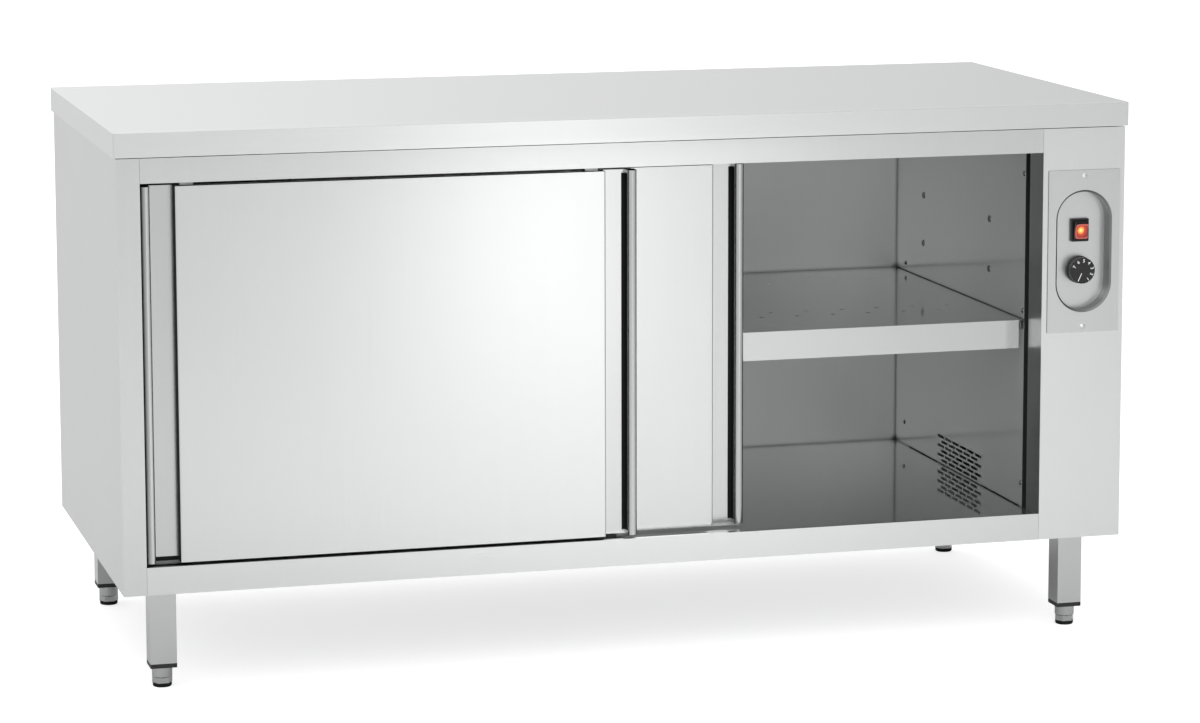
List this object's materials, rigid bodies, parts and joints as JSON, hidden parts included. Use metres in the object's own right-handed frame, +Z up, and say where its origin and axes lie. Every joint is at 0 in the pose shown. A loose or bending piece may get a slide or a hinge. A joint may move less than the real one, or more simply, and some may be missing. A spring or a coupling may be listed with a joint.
{
  "type": "plate warmer cabinet",
  "caption": "Heated stainless steel cupboard on legs with a flat worktop, two sliding doors, a shelf and a side control column.",
  "frame": {"origin": "on the floor, under the middle of the worktop", "axes": "+X to the right seen from the front, +Y to the back, +Z up; the doors face -Y"},
  "size_m": [1.6, 0.7, 0.85],
  "materials": {
    "worktop_steel": "satin",
    "body_steel": "satin",
    "door_steel": "satin",
    "liner_steel": "satin",
    "shelf_steel": "satin",
    "polished_steel": "polished",
    "plate_steel": "satin",
    "leg_steel": "satin",
    "foot_steel": "satin",
    "zinc_steel": "satin",
    "fastener_steel": "polished",
    "heater_steel": "matte",
    "mineral_wool": "matte",
    "rubber": "matte",
    "nylon": "satin",
    "black_plastic": "satin",
    "knob_plastic": "satin",
    "pale_plastic": "satin",
    "lit_lens": "gloss"
  },
  "bodies": {
    "cabinet": {"worktop": "worktop_steel", "worktop_stiffeners": "zinc_steel", "side_panel_left": "body_steel", "side_panel_right": "body_steel", "back_panel": "body_steel", "top_header": "body_steel", "bottom_rail": "body_steel", "floor_panel": "polished_steel", "base_rails": "zinc_steel", "ceiling_panel": "liner_steel", "liner_left": "liner_steel", "liner_back": "liner_steel", "duct_panel": "liner_steel", "insulation_boards": "mineral_wool", "door_track": "zinc_steel", "track_buffers": "rubber", "floor_guides": "nylon", "shelf_pins": "fastener_steel", "shelf_sockets": "fastener_steel", "panel_screws": "fastener_steel", "leg_fl": "leg_steel", "leg_fr": "leg_steel", "leg_rl": "leg_steel", "leg_rr": "leg_steel", "leg_caps": "nylon", "leg_bolts": "fastener_steel", "control_plate": "plate_steel", "switch_housing": "black_plastic", "thermostat_body": "zinc_steel", "component_plate": "zinc_steel", "safety_thermostat": "black_plastic", "terminal_block": "pale_plastic", "cable_gland": "black_plastic", "fan_housing": "zinc_steel", "fan_motor": "zinc_steel", "fan_bearing": "nylon", "heating_element": "heater_steel", "heater_bracket": "zinc_steel"},
    "door_left": {"door_left_skin": "door_steel", "door_left_liner": "liner_steel", "door_left_core": "mineral_wool", "door_left_hangers": "zinc_steel"},
    "door_right": {"door_right_skin": "door_steel", "door_right_liner": "liner_steel", "door_right_core": "mineral_wool", "door_right_hangers": "zinc_steel"},
    "wheel_left_a": {"roller_left_a": "nylon"},
    "wheel_left_b": {"roller_left_b": "nylon"},
    "wheel_right_a": {"roller_right_a": "nylon"},
    "wheel_right_b": {"roller_right_b": "nylon"},
    "foot_front_left": {"foot_fl": "foot_steel"},
    "foot_front_right": {"foot_fr": "foot_steel"},
    "foot_rear_left": {"foot_rl": "foot_steel"},
    "foot_rear_right": {"foot_rr": "foot_steel"},
    "shelf": {"shelf": "shelf_steel", "shelf_stiffener": "zinc_steel"},
    "rocker": {"switch_rocker": "lit_lens"},
    "knob": {"knob": "knob_plastic", "thermostat_spindle": "fastener_steel"},
    "fan": {"fan_rotor": "zinc_steel"}
  },
  "joints": [
    {"name": "door_left_slide", "type": "slide", "parent": "cabinet", "child": "door_left", "axis": [1, 0, 0], "range_m": [0, 0.659]},
    {"name": "door_right_slide", "type": "slide", "parent": "cabinet", "child": "door_right", "axis": [1, 0, 0], "range_m": [-0.181, 0.478]},
    {"name": "wheel_left_a_roll", "type": "hinge", "parent": "door_left", "child": "wheel_left_a", "pos_m": [-0.69, -0.331, 0.7868], "axis": [0, 1, 0], "range_deg": [-20, 3820]},
    {"name": "wheel_left_b_roll", "type": "hinge", "parent": "door_left", "child": "wheel_left_b", "pos_m": [-0.071, -0.331, 0.7868], "axis": [0, 1, 0], "range_deg": [-20, 3820]},
    {"name": "wheel_right_a_roll", "type": "hinge", "parent": "door_right", "child": "wheel_right_a", "pos_m": [-0.509, -0.298, 0.7868], "axis": [0, 1, 0], "range_deg": [-1060, 2790]},
    {"name": "wheel_right_b_roll", "type": "hinge", "parent": "door_right", "child": "wheel_right_b", "pos_m": [0.11, -0.298, 0.7868], "axis": [0, 1, 0], "range_deg": [-1060, 2790]},
    {"name": "foot_front_left_height", "type": "slide", "parent": "cabinet", "child": "foot_front_left", "axis": [0, 0, -1], "range_m": [0, 0.03]},
    {"name": "foot_front_right_height", "type": "slide", "parent": "cabinet", "child": "foot_front_right", "axis": [0, 0, -1], "range_m": [0, 0.03]},
    {"name": "foot_rear_left_height", "type": "slide", "parent": "cabinet", "child": "foot_rear_left", "axis": [0, 0, -1], "range_m": [0, 0.03]},
    {"name": "foot_rear_right_height", "type": "slide", "parent": "cabinet", "child": "foot_rear_right", "axis": [0, 0, -1], "range_m": [0, 0.03]},
    {"name": "shelf_lift", "type": "slide", "parent": "cabinet", "child": "shelf", "axis": [0, 0, 1], "range_m": [0, 0.05]},
    {"name": "rocker_tilt", "type": "hinge", "parent": "cabinet", "child": "rocker", "pos_m": [0.728, -0.329, 0.6465], "axis": [-1, 0, 0], "range_deg": [0, 20]},
    {"name": "knob_turn", "type": "hinge", "parent": "cabinet", "child": "knob", "pos_m": [0.728, -0.33, 0.5835], "axis": [0, 1, 0], "range_deg": [-205, 65]},
    {"name": "fan_spin", "type": "hinge", "parent": "cabinet", "child": "fan", "pos_m": [0.7262, 0.016, 0.229], "axis": [0, 1, 0], "continuous": true}
  ],
  "couplings": [
    {"joint": "wheel_left_a_roll", "follows": "door_left_slide", "rad_per_m": 100},
    {"joint": "wheel_left_b_roll", "follows": "door_left_slide", "rad_per_m": 100},
    {"joint": "wheel_right_a_roll", "follows": "door_right_slide", "rad_per_m": 100},
    {"joint": "wheel_right_b_roll", "follows": "door_right_slide", "rad_per_m": 100}
  ]
}
